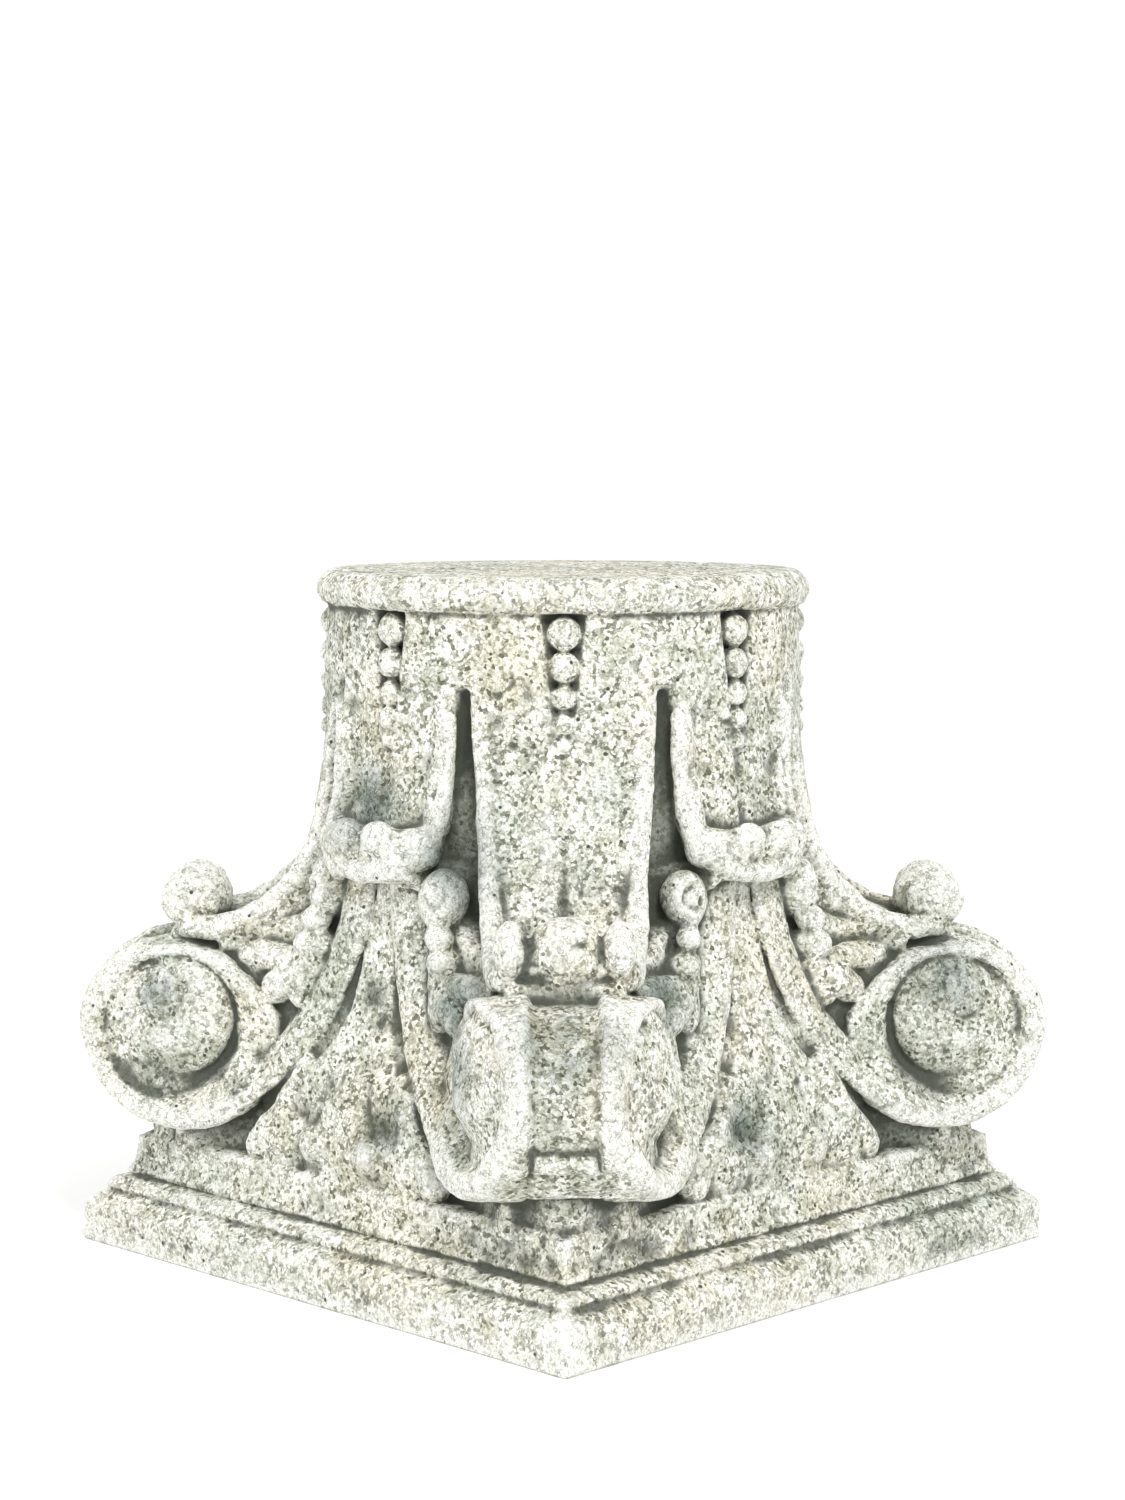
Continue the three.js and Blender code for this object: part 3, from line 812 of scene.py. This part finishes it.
def wear(mesh, field, middle):
    # Waves, lumps, grain and pits in the cast surface, edges rubbed back, and a few lost chips.
    points = vectors_of(mesh, "co")
    near, _ = cavity_maps(field, middle, points)
    exposed = np.clip(0.5 - near, 0, 0.5) * 2
    move = np.zeros(len(points))
    for seed, (depth, size) in enumerate(ROUGHNESS, 1):
        move += depth * lattice_noise(points, size, seed)
    move -= RUBBED[0] * exposed * (0.6 + 0.9 * np.maximum(lattice_noise(points, RUBBED[1], 5), 0))
    move -= CHIPS[0] * ramp(lattice_noise(points, CHIPS[1], 6), 0.55, 0.80) * ramp(exposed, 0.25, 0.5)
    move -= PITS[0] * ramp(lattice_noise(points, PITS[1], 7), 0.62, 0.85)
    move *= ramp(points[:, 2], *UNWORN_FOOT)
    points += vectors_of(mesh, "normal") * move[:, None]
    points[:, 2] = np.clip(points[:, 2], 0, CAD_HIGH.z - TOP_CLEARANCE)
    mesh.vertices.foreach_set("co", points.astype(np.float32).ravel())
    mesh.update()


def stained(points):
    # How dark the damp has left each point, from 0 to 1, broken up by noise.
    total = np.zeros(len(points))
    for middle, reach in STAINS:
        away = np.linalg.norm(points / PLINTH_WIDTH - np.array(middle), axis=1) / reach
        total = np.maximum(total, np.exp(-away * away))
    patches = 0.5 + 0.5 * lattice_noise(points, 0.012, 8) + 0.35 * lattice_noise(points, 0.005, 9)
    return total * np.clip(patches + 0.40, 0, 1)


def lighten(piece):
    triangles = sum(len(face.vertices) - 2 for face in piece.data.polygons)
    if triangles > SKIN_TRIANGLES:
        thin = piece.modifiers.new("thin", "DECIMATE")
        thin.ratio = SKIN_TRIANGLES / triangles
    graph = bpy.context.evaluated_depsgraph_get()
    mesh = bpy.data.meshes.new_from_object(piece.evaluated_get(graph))
    piece.modifiers.clear()
    piece.data = mesh


def column_base():
    mesh, field, middle = skin(carve())
    wear(mesh, field, middle)
    stone = bpy.data.objects.new("column_base_stone", mesh)
    bpy.context.collection.objects.link(stone)
    lighten(stone)
    points = vectors_of(stone.data, "co")
    near, far = cavity_maps(field, middle, points)
    for name, values in (("near_hollow", near), ("far_hollow", far), ("stain", stained(points))):
        layer = stone.data.attributes.new(name, "FLOAT", "POINT")
        layer.data.foreach_set("value", values.astype(np.float32))
    stone.data.shade_smooth()
    return stone


# Building blocks of a material


def node(tree, kind, inputs=None, **settings):
    made = tree.nodes.new(kind)
    for name, value in settings.items():
        setattr(made, name, value)
    for name, value in (inputs or {}).items():
        if isinstance(value, bpy.types.NodeSocket):
            tree.links.new(value, made.inputs[name])
        else:
            made.inputs[name].default_value = value
    return made


def stops(tree, factor, colours):
    made = node(tree, "ShaderNodeValToRGB", {"Fac": factor})
    elements = made.color_ramp.elements
    while len(elements) < len(colours):
        elements.new(0.5)
    for element, (place, colour) in zip(elements, colours):
        element.position = place
        element.color = (*colour, 1)
    return made.outputs["Color"]


def mixed(tree, kind, factor, first, second):
    made = node(tree, "ShaderNodeMix", data_type="RGBA", blend_type=kind)
    for name, value in (("Factor", factor), ("A", first), ("B", second)):
        socket = [s for s in made.inputs if s.name == name and s.type in ("RGBA", "VALUE") and s.enabled][0]
        if isinstance(value, bpy.types.NodeSocket):
            tree.links.new(value, socket)
        else:
            socket.default_value = value
    return [s for s in made.outputs if s.enabled][0]


def scaled(tree, value, low, high, to_low=0.0, to_high=1.0):
    inputs = {"Value": value, "From Min": low, "From Max": high, "To Min": to_low, "To Max": to_high}
    return node(tree, "ShaderNodeMapRange", inputs, interpolation_type="SMOOTHSTEP").outputs["Result"]


def combined(tree, kind, first, second):
    return node(tree, "ShaderNodeMath", {0: first, 1: second}, operation=kind).outputs["Value"]


def attribute(tree, name):
    return node(tree, "ShaderNodeAttribute", attribute_name=name).outputs["Fac"]


def noise(tree, place, scale, detail, rough):
    inputs = {"Vector": place, "Scale": scale, "Detail": detail, "Roughness": rough}
    return node(tree, "ShaderNodeTexNoise", inputs).outputs["Fac"]


def cells(tree, place, scale, **settings):
    inputs = {"Vector": place, "Scale": scale, "Randomness": 1.0}
    return node(tree, "ShaderNodeTexVoronoi", inputs, **settings).outputs


def own_value(tree, cell):
    # A value from 0 to 1 of each cell's own.
    return node(tree, "ShaderNodeSeparateColor", {"Color": cell["Color"]}).outputs["Red"]


# Weathered cast stone


def curled(tree, place):
    # The place, pushed about so that cells drawn in it get curled outlines.
    swirl = node(tree, "ShaderNodeTexNoise", {"Vector": place, "Scale": CURL_SCALE, "Detail": 2.0})
    inputs = {0: swirl.outputs["Color"], 1: (CURL,) * 3, 2: place}
    return node(tree, "ShaderNodeVectorMath", inputs, operation="MULTIPLY_ADD").outputs["Vector"]


def worn_and_highlighted(tree, colour, place, near, far):
    # Edges and swellings painted pale: mostly painted highlight, partly rubbed wear, and hardly any on the
    # ring.
    height = node(tree, "ShaderNodeSeparateXYZ", {"Vector": place}).outputs["Z"]
    below_ring = scaled(tree, height, 0.378, 0.366, 0.15, 0.58)
    edge = combined(tree, "MULTIPLY", scaled(tree, near, 0.49, 0.34), below_ring)
    swell = combined(tree, "MULTIPLY", scaled(tree, far, 0.46, 0.30), below_ring)
    colour = mixed(tree, "MIX", edge, colour, WORN_EDGE_HIGHLIGHT)
    return mixed(tree, "MIX", swell, colour, WORN_SWELL_HIGHLIGHT)


def seamed(tree, colour, place, grain_place):
    # Dark hairlines between the grains, broken off here and there.
    seams = cells(tree, grain_place, GRAIN_SCALE, feature="DISTANCE_TO_EDGE")["Distance"]
    broken = scaled(tree, noise(tree, place, BREAK_SCALE, 3.0, 0.6), 0.46, 0.62, 0.05, 0.85)
    return mixed(tree, "MULTIPLY", broken, colour, stops(tree, seams, SEAM_SHADES))


def pitted_and_shaded(tree, colour, place, near, far, cloud):
    # Patchy painted shade in wide hollows, small dark pits, and the darkest painted shade in narrow
    # creases.
    # Painted shade, deepest where the most stone surrounds a point
    hollow_shade = scaled(tree, far, 0.550, 0.725)
    patchy = scaled(tree, cloud, 0.30, 0.60, 0.55, 0.95)
    colour = mixed(tree, "MIX", combined(tree, "MULTIPLY", hollow_shade, patchy), colour, PAINTED_HOLLOW_SHADE)
    holes = cells(tree, place, PIT_SCALE)
    small = scaled(tree, holes["Distance"], 0.15, 0.09)
    chosen = scaled(tree, own_value(tree, holes), 0.62, 0.70)
    colour = mixed(tree, "MIX", combined(tree, "MULTIPLY", small, chosen), colour, PIT_SHADE)
    # Darkest painted shade in narrow creases
    crease_shade = scaled(tree, near, 0.53, 0.67, 0.0, 0.88)
    return mixed(tree, "MIX", crease_shade, colour, PAINTED_CREASE_SHADE)


def cast_stone():
    material = bpy.data.materials.new("weathered_cast_stone")
    material.use_nodes = True
    tree = material.node_tree
    place = node(tree, "ShaderNodeTexCoord").outputs["Object"]
    near = attribute(tree, "near_hollow")
    far = attribute(tree, "far_hollow")
    grain_place = curled(tree, place)
    speck = own_value(tree, cells(tree, grain_place, GRAIN_SCALE))
    fine = noise(tree, place, FINE_SCALE, 3.0, 0.7)
    patch = noise(tree, place, PATCH_SCALE, 5.0, 0.65)
    cloud = noise(tree, place, CLOUD_SCALE, 4.0, 0.6)

    colour = stops(tree, speck, GRAIN_SHADES)
    colour = mixed(tree, "MULTIPLY", 0.8, colour, stops(tree, cloud, CLOUD_SHADES))
    colour = mixed(tree, "MULTIPLY", 0.8, colour, stops(tree, patch, PATCH_SHADES))
    # Painted highlight on edges and swellings, partly rubbed wear
    colour = worn_and_highlighted(tree, colour, place, near, far)
    colour = mixed(tree, "MULTIPLY", 0.65, colour, stops(tree, fine, FINE_SHADES))
    colour = seamed(tree, colour, place, grain_place)
    colour = mixed(tree, "MULTIPLY", attribute(tree, "stain"), colour, DAMP_SHADE)
    # Painted shade in hollows and creases, and small dark pits
    colour = pitted_and_shaded(tree, colour, place, near, far, cloud)

    rise = combined(tree, "ADD", fine, speck)
    relief = node(tree, "ShaderNodeBump", {"Strength": 0.55, "Distance": 0.0012, "Height": rise})
    shader = tree.nodes["Principled BSDF"]
    tree.links.new(colour, shader.inputs["Base Color"])
    tree.links.new(relief.outputs["Normal"], shader.inputs["Normal"])
    shader.inputs["Roughness"].default_value = 0.93
    shader.inputs["Specular IOR Level"].default_value = 0.25
    return material


# Floor, light and camera


def pale_floor():
    material = bpy.data.materials.new("pale_floor")
    material.use_nodes = True
    shader = material.node_tree.nodes["Principled BSDF"]
    shader.inputs["Base Color"].default_value = (*FLOOR_SHADE, 1)
    shader.inputs["Roughness"].default_value = 0.9
    return material


def studio_floor():
    corners = [(x * FLOOR_REACH, y * FLOOR_REACH, 0) for x, y in ((-1, -1), (1, -1), (1, 1), (-1, 1))]
    mesh = bpy.data.meshes.new("floor")
    mesh.from_pydata(corners, [], [(0, 1, 2, 3)])
    floor = bpy.data.objects.new("floor", mesh)
    floor.data.materials.append(pale_floor())
    bpy.context.collection.objects.link(floor)


def sky():
    world = bpy.data.worlds.new("studio")
    bpy.context.scene.world = world
    world.use_nodes = True
    background = world.node_tree.nodes["Background"]
    background.inputs["Color"].default_value = (1, 1, 1, 1)
    background.inputs["Strength"].default_value = SKY_STRENGTH


def lamp(name, place, size, power):
    light = bpy.data.lights.new(name, "AREA")
    light.size = size
    light.energy = power
    holder = bpy.data.objects.new(name, light)
    holder.location = place
    aim = np.array(LAMP_AIM) - np.array(place)
    aim /= np.linalg.norm(aim)
    holder.rotation_euler = (math.acos(-aim[2]), 0, math.atan2(aim[1], aim[0]) - math.pi / 2)
    bpy.context.collection.objects.link(holder)


def camera():
    data = bpy.data.cameras.new("camera")
    data.sensor_width = SENSOR_WIDTH
    data.lens = CAMERA_LENS
    holder = bpy.data.objects.new("camera", data)
    away = CAMERA_DISTANCE * PLINTH_WIDTH
    up = CAMERA_HEIGHT * PLINTH_WIDTH
    holder.location = (math.sin(CAMERA_TURN) * away, -math.cos(CAMERA_TURN) * away, up)
    holder.rotation_euler = (math.pi / 2 - CAMERA_PITCH, 0, CAMERA_TURN)
    bpy.context.collection.objects.link(holder)
    bpy.context.scene.camera = holder


stone = column_base()
stone.data.materials.append(cast_stone())
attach(stone, "root")
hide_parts("column_base")
studio_floor()
sky()
for settings in LAMPS:
    lamp(*settings)
camera()
bpy.context.scene.view_settings.view_transform = "Standard"
